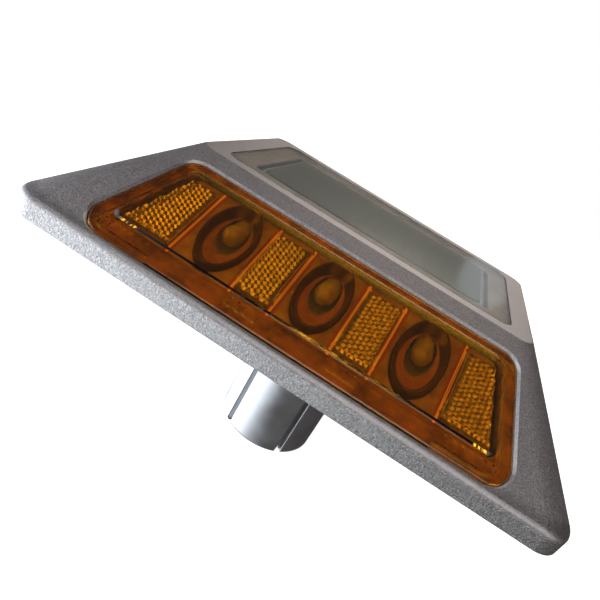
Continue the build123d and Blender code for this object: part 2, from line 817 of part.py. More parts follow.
with BuildPart() as shank_bolt:
    bolt_seat = -shank_web - washer_thickness
    with BuildSketch(Plane.XY.offset(bolt_seat)) as bolt_plan:
        Circle(bolt_radius)
    extrude(amount=bolt_length)
    chamfer(edges().group_by(Axis.Z)[-1], length=bolt_point_chamfer)
    with BuildSketch(Plane.XY.offset(bolt_seat)) as head_plan:
        Circle(bolt_head_radius)
    extrude(amount=-bolt_head_height)
    chamfer(edges().group_by(Axis.Z)[0], length=bolt_head_chamfer)
    with BuildSketch(Plane.XY.offset(bolt_seat - bolt_head_height)) as hex_plan:
        RegularPolygon(radius=bolt_hex / math.sqrt(3), side_count=6)
    extrude(amount=bolt_head_height / 2, mode=Mode.SUBTRACT)
save(shank_bolt, "shank_bolt")
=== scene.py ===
# Two-way solar road stud: sprayed casting, amber lenses over prisms and LED cups, solar window, grooved shank
import json
import math

import bpy
import numpy as np
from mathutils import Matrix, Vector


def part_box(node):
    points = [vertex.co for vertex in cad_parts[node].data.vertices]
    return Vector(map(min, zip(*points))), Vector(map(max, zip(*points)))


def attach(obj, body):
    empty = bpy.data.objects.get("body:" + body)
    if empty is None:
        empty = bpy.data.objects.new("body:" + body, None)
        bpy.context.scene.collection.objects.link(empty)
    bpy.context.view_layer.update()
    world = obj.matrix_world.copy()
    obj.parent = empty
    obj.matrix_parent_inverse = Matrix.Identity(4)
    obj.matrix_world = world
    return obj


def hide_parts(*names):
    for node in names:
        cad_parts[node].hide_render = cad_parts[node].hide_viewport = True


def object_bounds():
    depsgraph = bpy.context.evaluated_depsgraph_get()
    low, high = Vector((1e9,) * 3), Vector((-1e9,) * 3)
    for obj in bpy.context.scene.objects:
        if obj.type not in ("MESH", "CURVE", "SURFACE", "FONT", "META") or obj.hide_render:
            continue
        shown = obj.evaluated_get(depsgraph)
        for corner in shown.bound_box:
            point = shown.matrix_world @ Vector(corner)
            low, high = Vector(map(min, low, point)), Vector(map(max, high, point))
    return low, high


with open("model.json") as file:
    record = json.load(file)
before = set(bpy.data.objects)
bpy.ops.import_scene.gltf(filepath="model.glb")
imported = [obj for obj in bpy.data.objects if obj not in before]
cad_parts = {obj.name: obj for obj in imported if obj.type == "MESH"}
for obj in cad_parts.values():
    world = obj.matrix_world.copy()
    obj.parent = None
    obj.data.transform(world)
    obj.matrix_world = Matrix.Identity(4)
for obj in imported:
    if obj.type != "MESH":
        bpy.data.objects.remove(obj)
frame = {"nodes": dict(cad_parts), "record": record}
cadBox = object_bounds()
nodes = frame["nodes"]
mm = 0.001
print("frame loaded:", len(nodes), "nodes")


def nodePoints(name):
    # every point of a CAD node, as an array of rows
    mesh = nodes[name].data
    points = np.zeros(len(mesh.vertices) * 3, np.float32)
    mesh.vertices.foreach_get("co", points)
    return points.reshape(-1, 3).astype(float)


def gridFaces(rows, columns):
    # the four corner numbers of each cell, counter-clockwise from outside
    k = np.arange(rows * columns).reshape(rows, columns)
    return np.stack([k[:-1, :-1], k[:-1, 1:], k[1:, 1:], k[1:, :-1]], -1).reshape(-1, 4)


def ringNumbers(rows, columns):
    # the grid's border, counter-clockwise from outside
    k = np.arange(rows * columns).reshape(rows, columns)
    return np.concatenate([k[0, :-1], k[:-1, -1], k[-1, :0:-1], k[:0:-1, 0]])


def closedSlab(top, bottom, topFaces=None):
    # two grids of the same shape, joined by a wall round their borders
    rows, columns = top.shape[:2]
    count = rows * columns
    quads = gridFaces(rows, columns)
    upper = quads if topFaces is None else topFaces
    ring = ringNumbers(rows, columns)
    after = np.roll(ring, -1)
    walls = np.stack([ring + count, after + count, after, ring], -1)
    points = np.concatenate([top.reshape(-1, 3), bottom.reshape(-1, 3)])
    return points, [upper, quads[:, ::-1] + count, walls]


def turned(profile, centre, forward, sideways, steps):
    # a profile of (distance forward, radius) rows carried round the axis; an end on the axis is one point
    upward = np.cross(forward, sideways)
    angle = np.linspace(0, 2 * math.pi, steps, endpoint=False)
    around = np.cos(angle)[:, None] * sideways + np.sin(angle)[:, None] * upward
    along, radius = profile[:, 0], profile[:, 1]
    body = centre + along[1:-1, None, None] * forward + radius[1:-1, None, None] * around
    tips = [centre + along[0] * forward, centre + along[-1] * forward]
    points = np.concatenate([body.reshape(-1, 3), tips])
    rings = len(profile) - 2
    k = np.arange(rings * steps).reshape(rings, steps)
    n = np.roll(k, -1, 1)
    quads = np.stack([k[:-1], n[:-1], n[1:], k[1:]], -1).reshape(-1, 4)
    first, last = np.full(steps, rings * steps), np.full(steps, rings * steps + 1)
    ends = np.concatenate([np.stack([n[0], k[0], first], -1), np.stack([k[-1], n[-1], last], -1)])
    return points, [quads, ends]


def joined(shapes):
    # several (points, faces) shapes as one
    points, faces, start = [], [], 0
    for shapePoints, shapeFaces in shapes:
        points.append(shapePoints)
        faces += [block + start for block in shapeFaces]
        start += len(shapePoints)
    return np.concatenate(points), faces


def addPiece(name, shape, material, replaced, sharpAngle=30.0):
    # makes the mesh, rides it on the casting's body and hides the CAD solid that it stands for
    points, blocks = shape
    mesh = bpy.data.meshes.new(name)
    corners = np.concatenate([block.ravel() for block in blocks]).astype(np.int32)
    sizes = np.concatenate([np.full(len(block), block.shape[1]) for block in blocks]).astype(np.int32)
    mesh.vertices.add(len(points))
    mesh.vertices.foreach_set("co", points.astype(np.float32).ravel())
    mesh.loops.add(len(corners))
    mesh.loops.foreach_set("vertex_index", corners)
    mesh.polygons.add(len(sizes))
    mesh.polygons.foreach_set("loop_start", np.concatenate([[0], np.cumsum(sizes)[:-1]]).astype(np.int32))
    mesh.polygons.foreach_set("use_smooth", np.ones(len(sizes), bool))
    mesh.update(calc_edges=True)
    mesh.validate()
    mesh.set_sharp_from_angle(angle=math.radians(sharpAngle))
    mesh.materials.append(material)
    piece = bpy.data.objects.new(name, mesh)
    bpy.context.scene.collection.objects.link(piece)
    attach(piece, "root")
    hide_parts(replaced)
    return piece


def put(tree, kind, inputs=None, **settings):
    # one shader node with its settings, and its inputs set to values or joined to other nodes' outputs
    made = tree.nodes.new("ShaderNode" + kind)
    for key, value in settings.items():
        setattr(made, key, value)
    for key, value in (inputs or {}).items():
        if isinstance(value, bpy.types.NodeSocket):
            tree.links.new(value, made.inputs[key])
        else:
            made.inputs[key].default_value = value
    return made


def newMaterial(name, **values):
    # a Principled material whose fixed values sit on the shader's own sockets
    material = bpy.data.materials.new(name)
    material.use_nodes = True
    tree = material.node_tree
    shader = tree.nodes["Principled BSDF"]
    for key, value in values.items():
        shader.inputs[key.replace("_", " ")].default_value = value
    return material, tree, shader


def objectPlace(tree, stretch=(1, 1, 1)):
    place = put(tree, "TexCoord").outputs["Object"]
    return put(tree, "Mapping", {"Vector": place, "Scale": stretch}).outputs["Vector"]


def scaled(colour, share):
    # a lighter or darker shade of a colour
    return tuple(min(1.0, value * share) for value in colour)


def noise(tree, place, scale, detail=2.0, roughness=0.5):
    inputs = {"Vector": place, "Scale": scale, "Detail": detail, "Roughness": roughness}
    return put(tree, "TexNoise", inputs).outputs["Fac"]


def ramp(tree, factor, stops):
    # a colour ramp of (place, colour) stops; a single number is a grey
    made = put(tree, "ValToRGB", {"Fac": factor})
    elements = made.color_ramp.elements
    for element, (place, colour) in zip(elements, stops):
        element.position = place
        rgb = (colour,) * 3 if isinstance(colour, (int, float)) else colour
        element.color = (*rgb, 1.0)
    return made.outputs["Color"]


def rescale(tree, value, start, end, low=0.0, high=1.0):
    # start..end stretched to low..high, held at the ends
    inputs = {"Value": value, "From Min": start, "From Max": end, "To Min": low, "To Max": high}
    return put(tree, "MapRange", inputs).outputs["Result"]


def bump(tree, height, distance, strength=1.0):
    inputs = {"Height": height, "Distance": distance, "Strength": strength}
    return put(tree, "Bump", inputs).outputs["Normal"]


def blend(tree, factor, a, b, mode="MIX"):
    # two colours mixed by a factor
    made = put(tree, "Mix", data_type="RGBA", blend_type=mode)
    for socket, value in ((made.inputs[0], factor), (made.inputs[6], a), (made.inputs[7], b)):
        if isinstance(value, bpy.types.NodeSocket):
            tree.links.new(value, socket)
        else:
            socket.default_value = value if isinstance(value, (int, float)) else (*value, 1.0)
    return made.outputs[2]


def maths(tree, operation, a, b=0.0, c=0.0):
    made = put(tree, "Math", operation=operation)
    for socket, value in zip(made.inputs, (a, b, c)):
        if isinstance(value, bpy.types.NodeSocket):
            tree.links.new(value, socket)
        else:
            socket.default_value = value
    return made.outputs[0]


coat = {
    "dark": (0.24, 0.222, 0.23), "pale": (0.49, 0.46, 0.47),
    "rimDark": (0.26, 0.25, 0.25), "rimPale": (0.50, 0.49, 0.49),
    "grain": 2600.0, "fineGrain": 5200.0, "rimGrain": 3400.0, "stops": (0.36, 0.64), "rimStops": (0.36, 0.62),
    "bumpHeight": 0.00019, "slopeBump": 0.30, "roughness": (0.30, 0.50), "rimPolish": -0.12,
    "rimHeight": 0.0040, "rimBlend": 0.0005, "ledgeHeights": (0.0044, 0.0048, 0.0056, 0.0064), "ledgePaintedShade": 0.68,
}


def silverCoat():
    # sprayed silver over a cast skin: fine flakes all over, coarser grain on the upright rim,
    # and painted shade on the ledge under the lens, darkening the strip just above the rim's rounded edge
    material, tree, shader = newMaterial("silver_coat", Metallic=0.85)
    place = objectPlace(tree)
    height = put(tree, "SeparateXYZ", {"Vector": place}).outputs["Z"]
    onRim = rescale(tree, height, coat["rimHeight"], coat["rimHeight"] + coat["rimBlend"], 1.0, 0.0)
    grain = noise(tree, place, coat["grain"], 3.0, 0.6)
    fine = noise(tree, place, coat["fineGrain"], 2.0, 0.6)
    rim = noise(tree, place, coat["rimGrain"], 3.0, 0.65)
    flakes = maths(tree, "MULTIPLY_ADD", fine, 0.5, maths(tree, "MULTIPLY", grain, 0.5))
    slopeShade = ramp(tree, flakes, zip(coat["stops"], (coat["dark"], coat["pale"])))
    rimShade = ramp(tree, rim, zip(coat["rimStops"], (coat["rimDark"], coat["rimPale"])))
    shade = blend(tree, onRim, slopeShade, rimShade)
    # painted shade: a band just above the rim's edge, under the lens, multiplied darker
    low, full, fading, high = coat["ledgeHeights"]
    paintedShadeBand = maths(tree, "MULTIPLY", rescale(tree, height, low, full), rescale(tree, height, high, fading))
    shade = blend(tree, paintedShadeBand, shade, (coat["ledgePaintedShade"],) * 3, "MULTIPLY")
    tree.links.new(shade, shader.inputs["Base Color"])
    rough = rescale(tree, grain, 0.3, 0.7, *coat["roughness"])
    tree.links.new(maths(tree, "MULTIPLY_ADD", onRim, coat["rimPolish"], rough), shader.inputs["Roughness"])
    strength = rescale(tree, onRim, 0.0, 1.0, coat["slopeBump"], 1.0)
    height = blend(tree, onRim, flakes, rim)
    tree.links.new(bump(tree, height, coat["bumpHeight"], strength), shader.inputs["Normal"])
    return material


satin = {"stainScale": 90.0, "pale": 1.08, "dull": 0.82, "streakDepth": 0.00003, "streakBump": 0.6}


def satinMetal(name, colour, roughness, stretch, scale):
    # turned, drawn or rolled metal: fine streaks along the tool's way and a few soft stains
    material, tree, shader = newMaterial(name, Metallic=1.0)
    streaks = noise(tree, objectPlace(tree, stretch), scale, 3.0, 0.6)
    stains = noise(tree, objectPlace(tree), satin["stainScale"], 3.0, 0.55)
    both = maths(tree, "MULTIPLY_ADD", streaks, 0.5, maths(tree, "MULTIPLY", stains, 0.5))
    shade = ramp(tree, both, [(0.35, scaled(colour, satin["dull"])), (0.65, scaled(colour, satin["pale"]))])
    tree.links.new(shade, shader.inputs["Base Color"])
    rough = rescale(tree, stains, 0.3, 0.7, roughness * 0.8, roughness * 1.2)
    tree.links.new(rough, shader.inputs["Roughness"])
    tree.links.new(bump(tree, streaks, satin["streakDepth"], satin["streakBump"]), shader.inputs["Normal"])
    return material


def moulded(name, colour, roughness, variation=0.12, grain=1800.0, depth=0.00002, **values):
    # moulded plastic, rubber or paint: slight clouds of shade and a fine skin
    material, tree, shader = newMaterial(name, **values)
    place = objectPlace(tree)
    clouds = noise(tree, place, 160.0, 3.0, 0.6)
    skin = noise(tree, place, grain, 2.0, 0.5)
    shade = ramp(tree, clouds, [(0.35, scaled(colour, 1 - variation)), (0.65, scaled(colour, 1 + variation))])
    tree.links.new(shade, shader.inputs["Base Color"])
    rough = rescale(tree, skin, 0.3, 0.7, roughness * 0.85, roughness * 1.15)
    tree.links.new(rough, shader.inputs["Roughness"])
    tree.links.new(bump(tree, skin, depth, 0.5), shader.inputs["Normal"])
    return material


amber = {"tint": (1.0, 0.505, 0.02), "roughness": 0.03, "index": 1.55, "ripple": 0.000012, "shine": 0.25}


def amberLens():
    # clear amber moulding with a barely rippled skin
    material, tree, shader = newMaterial(
        "amber_lens", Base_Color=(*amber["tint"], 1), Roughness=amber["roughness"], IOR=amber["index"],
        Transmission_Weight=1.0, Specular_IOR_Level=amber["shine"])
    ripples = noise(tree, objectPlace(tree), 350.0, 2.0, 0.5)
    tree.links.new(bump(tree, ripples, amber["ripple"], 0.6), shader.inputs["Normal"])
    return material


coverSheet = {"tint": (0.90, 0.92, 0.89), "roughness": 0.06, "index": 1.5, "haze": 0.00001}


def clearCover():
    # polished clear sheet with a faint haze
    material, tree, shader = newMaterial(
        "clear_cover", Base_Color=(*coverSheet["tint"], 1), Roughness=coverSheet["roughness"],
        IOR=coverSheet["index"], Transmission_Weight=1.0)
    haze = noise(tree, objectPlace(tree), 60.0, 3.0, 0.6)
    tree.links.new(bump(tree, haze, coverSheet["haze"], 0.3), shader.inputs["Normal"])
    return material


prismSkin = {"dull": (0.28, 0.28, 0.10), "pale": (0.49, 0.54, 0.22), "spots": 1100.0, "roughness": 0.2}


def prismAmber():
    # the prisms' mirror-bright cells, dark in their cuts and gold on the facets that catch light
    material, tree, shader = newMaterial("amber_prism", Metallic=0.9, Roughness=prismSkin["roughness"])
    spots = noise(tree, objectPlace(tree), prismSkin["spots"], 2.0, 0.6)
    shade = ramp(tree, spots, [(0.36, prismSkin["dull"]), (0.64, prismSkin["pale"])])
    tree.links.new(shade, shader.inputs["Base Color"])
    return material


backer = {
    "dull": (0.20, 0.15, 0.04), "pale": (0.40, 0.30, 0.09), "line": (0.95, 0.72, 0.25), "band": (0.30, 0.10, 0.02),
    "ribHighlightPlaces": (0.0072, 0.0164, 0.0318), "ribHighlightHalfWidth": 0.00035, "bandHalfWidth": 0.0012,
}


def backerAmber():
    # moulded amber plate, with a painted highlight line and a redder band round it at each side of every prism
    # panel, behind the lens's ribs
    material, tree, shader = newMaterial("backer_amber", Roughness=0.4)
    place = objectPlace(tree)
    across = maths(tree, "ABSOLUTE", put(tree, "SeparateXYZ", {"Vector": place}).outputs["X"])
    shade = ramp(tree, noise(tree, place, 220.0, 3.0, 0.6), [(0.35, backer["dull"]), (0.65, backer["pale"])])
    distances = [maths(tree, "ABSOLUTE", maths(tree, "SUBTRACT", across, line)) for line in backer["ribHighlightPlaces"]]
    nearest = maths(tree, "MINIMUM", maths(tree, "MINIMUM", distances[0], distances[1]), distances[2])
    # the "line" colour is a painted highlight standing in for the light each lens rib catches
    for colour, reach in (("band", backer["bandHalfWidth"]), ("line", backer["ribHighlightHalfWidth"])):
        shade = blend(tree, rescale(tree, nearest, reach, reach * 0.6), shade, backer[colour])
    tree.links.new(shade, shader.inputs["Base Color"])
    tree.links.new(bump(tree, noise(tree, place, 900.0), 0.00003, 0.5), shader.inputs["Normal"])
    return material


cup = {
    "wallPaintedShade": (0.030, 0.018, 0.008), "floor": (0.33, 0.175, 0.025), "slopeUp": 0.461, "slopeOut": 0.887,
    "floorHeight": 0.0284, "wallHeight": 0.0288,
}


def cupFinish():
    # a brown amber floor and a steep wall painted near-black as painted shade, told apart by the distance out
    # along the slope's normal
    material, tree, shader = newMaterial("cup_dark", Roughness=0.3)
    place = objectPlace(tree)
    parts = put(tree, "SeparateXYZ", {"Vector": place})
    outward = maths(tree, "MULTIPLY", maths(tree, "ABSOLUTE", parts.outputs["Y"]), cup["slopeUp"])
    height = maths(tree, "MULTIPLY_ADD", parts.outputs["Z"], cup["slopeOut"], outward)
    onWall = rescale(tree, height, cup["floorHeight"], cup["wallHeight"])
    clouds = noise(tree, place, 300.0, 3.0, 0.6)
    floor = ramp(tree, clouds, [(0.35, scaled(cup["floor"], 0.7)), (0.65, cup["floor"])])
    # the wall's near-black colour is painted shade for the dark ring seen round each cup
    tree.links.new(blend(tree, onWall, floor, cup["wallPaintedShade"]), shader.inputs["Base Color"])
    tree.links.new(bump(tree, noise(tree, place, 1800.0), 0.00002, 0.5), shader.inputs["Normal"])
    return material


cell = {
    "dull": (0.072, 0.080, 0.066), "pale": (0.092, 0.102, 0.086), "finger": (0.22, 0.23, 0.21),
    "fingerScale": 80.0, "fingerShare": 0.15,
}


def siliconCell():
    # dark grey-green cell with hair-thin printed fingers and a slow change of shade
    material, tree, shader = newMaterial(
        "cell_silicon", Roughness=0.35, Specular_IOR_Level=0.35, Coat_Weight=0.15)
    place = objectPlace(tree)
    base = ramp(tree, noise(tree, place, 45.0, 2.0, 0.5), [(0.35, cell["dull"]), (0.65, cell["pale"])])
    fingers = put(tree, "TexWave", {"Vector": place, "Scale": cell["fingerScale"]},
                  wave_type="BANDS", bands_direction="X")
    line = rescale(tree, fingers.outputs["Fac"], 0.9, 0.98, 0.0, cell["fingerShare"])
    tree.links.new(blend(tree, line, base, cell["finger"]), shader.inputs["Base Color"])
    return material


def solderMask(name, colour):
    # lacquered circuit board with paler copper lines under the lacquer
    material, tree, shader = newMaterial(name, Roughness=0.3, Coat_Weight=0.4)
    black, white = (0, 0, 0, 1), (1, 1, 1, 1)
    lines = put(tree, "TexBrick", {"Vector": objectPlace(tree), "Scale": 160.0, "Mortar Size": 0.035,
                                   "Color1": black, "Color2": black, "Mortar": white}).outputs["Color"]
    pale = tuple(min(1.0, value * 1.7 + 0.02) for value in colour)
    tree.links.new(blend(tree, lines, colour, pale), shader.inputs["Base Color"])
    tree.links.new(bump(tree, lines, 0.00003, 0.5), shader.inputs["Normal"])
    return material


finishes = {
    "silver_coat": silverCoat(),
    "shank_satin": satinMetal("shank_satin", (0.54, 0.55, 0.57), 0.44, (1, 1, 30), 260.0),
    "plate_satin": satinMetal("plate_satin", (0.66, 0.67, 0.68), 0.36, (1, 24, 1), 300.0),
    "steel_screw": satinMetal("steel_screw", (0.62, 0.62, 0.63), 0.28, (1, 1, 12), 900.0),
    "can_aluminium": satinMetal("can_aluminium", (0.74, 0.75, 0.77), 0.25, (1, 1, 20), 700.0),
    "tinned_wire": satinMetal("tinned_wire", (0.70, 0.70, 0.68), 0.30, (1, 8, 8), 900.0),
    "pin_brass": satinMetal("pin_brass", (0.80, 0.58, 0.24), 0.25, (1, 8, 1), 900.0),
    "clear_cover": clearCover(),
    "amber_lens": amberLens(),
    "amber_prism": prismAmber(),
    "backer_amber": backerAmber(),
    "cup_dark": cupFinish(),
    "seal_grey": moulded("seal_grey", (0.76, 0.69, 0.62), 0.55, 0.08),
    "gasket_black": moulded("gasket_black", (0.035, 0.035, 0.036), 0.6, 0.25),
    # the lens seals' brown is painted amber glow of light through the lens's side walls
    "gasket_painted_glow": moulded("gasket_painted_glow", (0.24, 0.125, 0.04), 0.6, 0.6),
    "cell_silicon": siliconCell(),
    "foam_grey": moulded("foam_grey", (0.20, 0.20, 0.20), 0.85, 0.25, 3000.0, 0.00012),
    "board_green": solderMask("board_green", (0.03, 0.16, 0.06)),
    "board_white": solderMask("board_white", (0.30, 0.30, 0.27)),
    "led_clear": moulded("led_clear", (0.24, 0.22, 0.06), 0.10, 0.25),
    "wire_red": moulded("wire_red", (0.50, 0.02, 0.02), 0.45),
    "wire_black": moulded("wire_black", (0.02, 0.02, 0.02), 0.45),
    "chip_black": moulded("chip_black", (0.025, 0.025, 0.027), 0.5, 0.2, 4000.0, 0.00004),
    "ferrite_grey": moulded("ferrite_grey", (0.09, 0.09, 0.095), 0.65, 0.2, 4000.0, 0.00005),
    "cell_sleeve": moulded("cell_sleeve", (0.04, 0.16, 0.36), 0.28, 0.08, Coat_Weight=0.5),
    "cradle_plastic": moulded("cradle_plastic", (0.05, 0.05, 0.05), 0.5, 0.2),
}
lensSeals = ("front_lens_gasket", "rear_lens_gasket")    # brown with strong patches: painted amber glow, standing in for light coming through the lens's side walls
for part in frame["record"]["subparts"]:
    slots = nodes[part["node"]].data.materials
    slots.clear()
    slots.append(finishes["gasket_painted_glow" if part["node"] in lensSeals else part["material_slot"]])
nodes["solar_cover"].visible_shadow = False
print("materials made:", len(finishes))


lens = {
    "footWidth": 98.2, "headWidth": 83.8, "height": 31.0, "footRadius": 5.0, "headRadius": 4.5,
    "thickness": 2.0, "edgeRound": 0.45,
    "panelFoot": 5.4, "panelHead": 2.0, "panelSide": 3.1, "panelRadius": 2.6, "panelStep": 0.55, "panelRise": 0.5,
    "moatInset": 2.3, "moatHalfWidth": 0.7, "moatDepth": 0.3,
    "ticksInset": (2.7, 4.9), "ticksReach": 46.0, "tickPitch": 1.9, "tickDepth": 0.32,
    "ribStarts": (6.9, 15.7, 31.4), "ribThickness": 0.9, "ribFoot": 8.4, "ribLength": 18.3, "ribDepth": 0.5,
    "ribRamp": 5.0, "ribWall": 0.03,
    "fixedHalfWidth": 33.0, "step": 0.36, "sideColumns": 44,
}
prisms = {
    "innerStart": 7.8, "innerEnd": 15.7, "outerStart": 32.3, "outerFootEnd": 43.05, "outerHeadEnd": 38.8,
    "pitch": 0.72, "relief": 0.62, "thickness": 1.8, "unevenness": 0.12,
}
led = {"flangeRadius": 2.9, "flangeThickness": 1.0, "radius": 2.5, "bevel": 0.1, "steps": 40, "noseSteps": 12}


def slopeOf(side):
    # the slope's own axes: along the lens, up the slope and out of it, from the flat prism node's points;
    # the origin is where the middle line meets the lens's foot, level with its outer margin
    points = nodePoints(side + "_prisms")
    axes = np.linalg.svd(points - points.mean(0), full_matrices=False)[2]
    up = axes[1] * np.sign(axes[1][2])
    out = axes[2] * np.sign(axes[2][2])
    lensPoints = nodePoints(side + "_lens")
    foot = (lensPoints @ up).min()
    face = (lensPoints @ out).max() - lens["panelRise"] * mm
    return {"origin": foot * up + face * out, "along": np.cross(up, out), "up": up, "out": out}


def onSlope(slope, u, v, n):
    # millimetres along, up and out of the slope, to metres in the frame
    u, v, n = np.broadcast_arrays(u, v, n)
    place = u[..., None] * slope["along"] + v[..., None] * slope["up"] + n[..., None] * slope["out"]
    return slope["origin"] + place * mm


def sideLine():
    # half of what the lens narrows by, and the length of its slanted side
    narrowing = (lens["footWidth"] - lens["headWidth"]) / 2
    return narrowing, math.hypot(narrowing, lens["height"])


def cornerPlace(radius, v):
    # how far out the centre of a corner arc lies: its radius in from the slanted side, at height v
    narrowing, length = sideLine()
    return lens["footWidth"] / 2 - (radius * length + v * narrowing) / lens["height"]


def lensCorners():
    # radius, height of the arc's centre, and which way is outward, at the foot and at the head
    foot, head = lens["footRadius"], lens["headRadius"]
    return (foot, foot, -1), (head, lens["height"] - head, 1)


def lensInset(u, v):
    # distance in from the rounded trapezium: the least distance to its sides, or to a corner's arc
    narrowing, length = sideLine()
    height, u = lens["height"], np.abs(u)
    sideways = -((u - lens["footWidth"] / 2) * height + v * narrowing) / length
    inset = np.minimum(np.minimum(v, height - v), sideways)
    for radius, centreV, way in lensCorners():
        du = u - cornerPlace(radius, centreV)
        dv = v - centreV
        inCorner = (du > 0) & (way * (dv * height - du * narrowing) > 0)
        inset = np.where(inCorner, radius - np.hypot(du, dv), inset)
    return inset


def lensHalfWidth(v):
    # half the lens's width at height v: the slanted side, cut back by the arc at each corner
    narrowing, length = sideLine()
    width = lens["footWidth"] / 2 - v * narrowing / lens["height"]
    for radius, centreV, way in lensCorners():
        tangent = centreV + radius * narrowing / length
        dv = v - centreV
        arc = cornerPlace(radius, centreV) + np.sqrt(np.maximum(radius ** 2 - dv ** 2, 0))
        width = np.where(way * (v - tangent) > 0, arc, width)
    return width


def easedStep(x, start, end):
    t = np.clip((x - start) / (end - start), 0, 1)
    return t * t * (3 - 2 * t)


def panelInset(u, v):
    # distance in from the raised panel: straight foot, head and slanted sides, with one round at each corner
    narrowing, length = sideLine()
    height, radius = lens["height"], lens["panelRadius"]
    sideways = -((np.abs(u) - lens["footWidth"] / 2) * height + v * narrowing) / length - lens["panelSide"]
    upward = np.minimum(v - lens["panelFoot"], height - lens["panelHead"] - v)
    inCorner = (sideways < radius) & (upward < radius)
    corner = radius - np.hypot(radius - sideways, radius - upward)
    return np.where(inCorner, corner, np.minimum(sideways, upward))


def lensGrid():
    # rows crowd towards the lens's foot and head, columns towards its sides and at the ribs' faces
    height, step, edge = lens["height"], lens["step"], lens["edgeRound"]
    close = edge * np.array([0, 0.06, 0.2, 0.42, 0.7, 1.0])
    arcShares = 1 - np.cos(np.radians(np.arange(32, 90, 5)))
    foot = np.concatenate([close, lens["footRadius"] * arcShares])
    head = np.concatenate([close, lens["headRadius"] * arcShares])
    middle = np.arange(lens["footRadius"] + step / 2, height - lens["headRadius"], step)
    rows = np.concatenate([foot, middle, height - head[::-1]])
    ribFaces = [start + way * lens["ribWall"] + part * lens["ribThickness"]
                for start in lens["ribStarts"] for part, way in ((0, 0), (0, 1), (1, -1), (1, 0))]
    fixed = np.arange(step / 2, lens["fixedHalfWidth"], step)
    fixed = fixed[np.abs(fixed[:, None] - np.array(ribFaces)).min(1) > step / 4]
    fixed = np.sort(np.concatenate([fixed, ribFaces, [lens["fixedHalfWidth"]]]))
    share = np.sin(np.linspace(0, math.pi / 2, lens["sideColumns"])[1:])
    v = rows[:, None]
    sides = lens["fixedHalfWidth"] + (lensHalfWidth(v) - lens["fixedHalfWidth"]) * share
    right = np.concatenate([np.broadcast_to(fixed, (len(rows), len(fixed))), sides], 1)
    u = np.concatenate([-right[:, ::-1], right], 1)
    return u, np.broadcast_to(v, u.shape)


def lensShape(slope):
    # outer face: a rounded edge, a margin, then an eased step up to the panel.
    # inner face: flat, with a moat behind the margin, small teeth behind the prisms, and ribs between the windows
    u, v = lensGrid()
    inset = lensInset(u, v)
    edge = lens["edgeRound"]
    cut = np.clip(edge - inset, 0, edge)
    outer = np.sqrt(edge ** 2 - cut ** 2) - edge
    outer = outer + lens["panelRise"] * easedStep(panelInset(u, v), 0, lens["panelStep"])
    inner = np.full_like(u, -lens["thickness"])
    moat = np.clip(1 - np.abs(inset - lens["moatInset"]) / lens["moatHalfWidth"], 0, 1)
    across = np.abs(u)
    outerPanel = across > prisms["outerStart"]
    innerPanel = (across > prisms["innerStart"]) & (across < prisms["innerEnd"])
    nearSide = outerPanel | (v > lens["height"] / 2)
    inner = inner + lens["moatDepth"] * moat * nearSide
    start, end = lens["ticksInset"]
    lowStrip = (v < end) & (v > start) & (~nearSide | (across < lens["ticksReach"]))
    tooth = 1 - np.abs((u / lens["tickPitch"]) % 1 * 2 - 1)
    inner = inner + lens["tickDepth"] * tooth * (lowStrip & (innerPanel | outerPanel))
    onRib = np.zeros(u.shape, bool)
    within = lens["ribWall"] / 3
    for ribStart in lens["ribStarts"]:
        onRib |= (across > ribStart + within) & (across < ribStart + lens["ribThickness"] - within)
    ribEnd = lens["ribFoot"] + lens["ribLength"]
    share = easedStep(np.minimum(v - lens["ribFoot"], ribEnd - v), 0, lens["ribRamp"])
    inner = np.where(onRib & (share > 0), -lens["thickness"] - lens["ribDepth"] * share, inner)
    return closedSlab(onSlope(slope, u, v, outer), onSlope(slope, u, v, inner))


def prismPanel(slope, left, rightFoot, rightHead, foot, head, face, mirror):
    # cube corners: a triangular lattice whose points stand at three levels in turn, so that
    # each cell shows three square facets; the lattice's outer columns lie on the panel's sides
    pitch = prisms["pitch"]
    columns = max(3, round((max(rightFoot, rightHead) - left) / pitch))
    rows = round((head - foot) / (pitch * math.sqrt(3) / 2))
    i, j = np.meshgrid(np.arange(columns + 1), np.arange(rows + 1))
    v = foot + (head - foot) * j / rows
    right = rightFoot + (rightHead - rightFoot) * (v - foot) / (head - foot)
    u = left + (i + 0.5 * (j % 2)) * pitch
    u = np.where(i == 0, left, np.minimum(u, right))
    u = np.where(i == columns, right, u)
    level = (i - j // 2 - j) % 3
    border = (i == 0) | (u >= right - 0.01) | (j == 0) | (j == rows)
    uneven = np.random.default_rng(7).uniform(0, prisms["unevenness"], level.shape)
    n = face - prisms["relief"] * np.where(border, 1.0, (level / 2) * (1 - uneven))
    k = np.arange((rows + 1) * (columns + 1)).reshape(rows + 1, columns + 1)
    a, b, c, d = k[:-1, :-1], k[:-1, 1:], k[1:, 1:], k[1:, :-1]
    even = ((j % 2) == 0)[:-1, :-1]
    evenFaces = np.concatenate([np.stack(t, -1)[even] for t in ((a, b, d), (b, c, d))])
    oddFaces = np.concatenate([np.stack(t, -1)[~even] for t in ((a, b, c), (a, c, d))])
    faces = np.concatenate([evenFaces, oddFaces])
    if mirror:
        u, n, v = -u[:, ::-1], n[:, ::-1], v[:, ::-1]
        faces = (k[:, ::-1].ravel())[faces][:, ::-1]
    back = np.full_like(n, face - prisms["thickness"])
    return closedSlab(onSlope(slope, u, v, n), onSlope(slope, u, v, back), faces)


def prismShape(slope, side):
    # the four panels, placed by the flat node that they stand for
    local = (nodePoints(side + "_prisms") - slope["origin"]) / mm
    up, out = local @ slope["up"], local @ slope["out"]
    foot, head, face = up.min(), up.max(), out.max()
    spans = ((prisms["innerStart"], prisms["innerEnd"], prisms["innerEnd"]),
             (prisms["outerStart"], prisms["outerFootEnd"], prisms["outerHeadEnd"]))
    return joined([prismPanel(slope, *span, foot, head, face, mirror)
                   for span in spans for mirror in (False, True)])


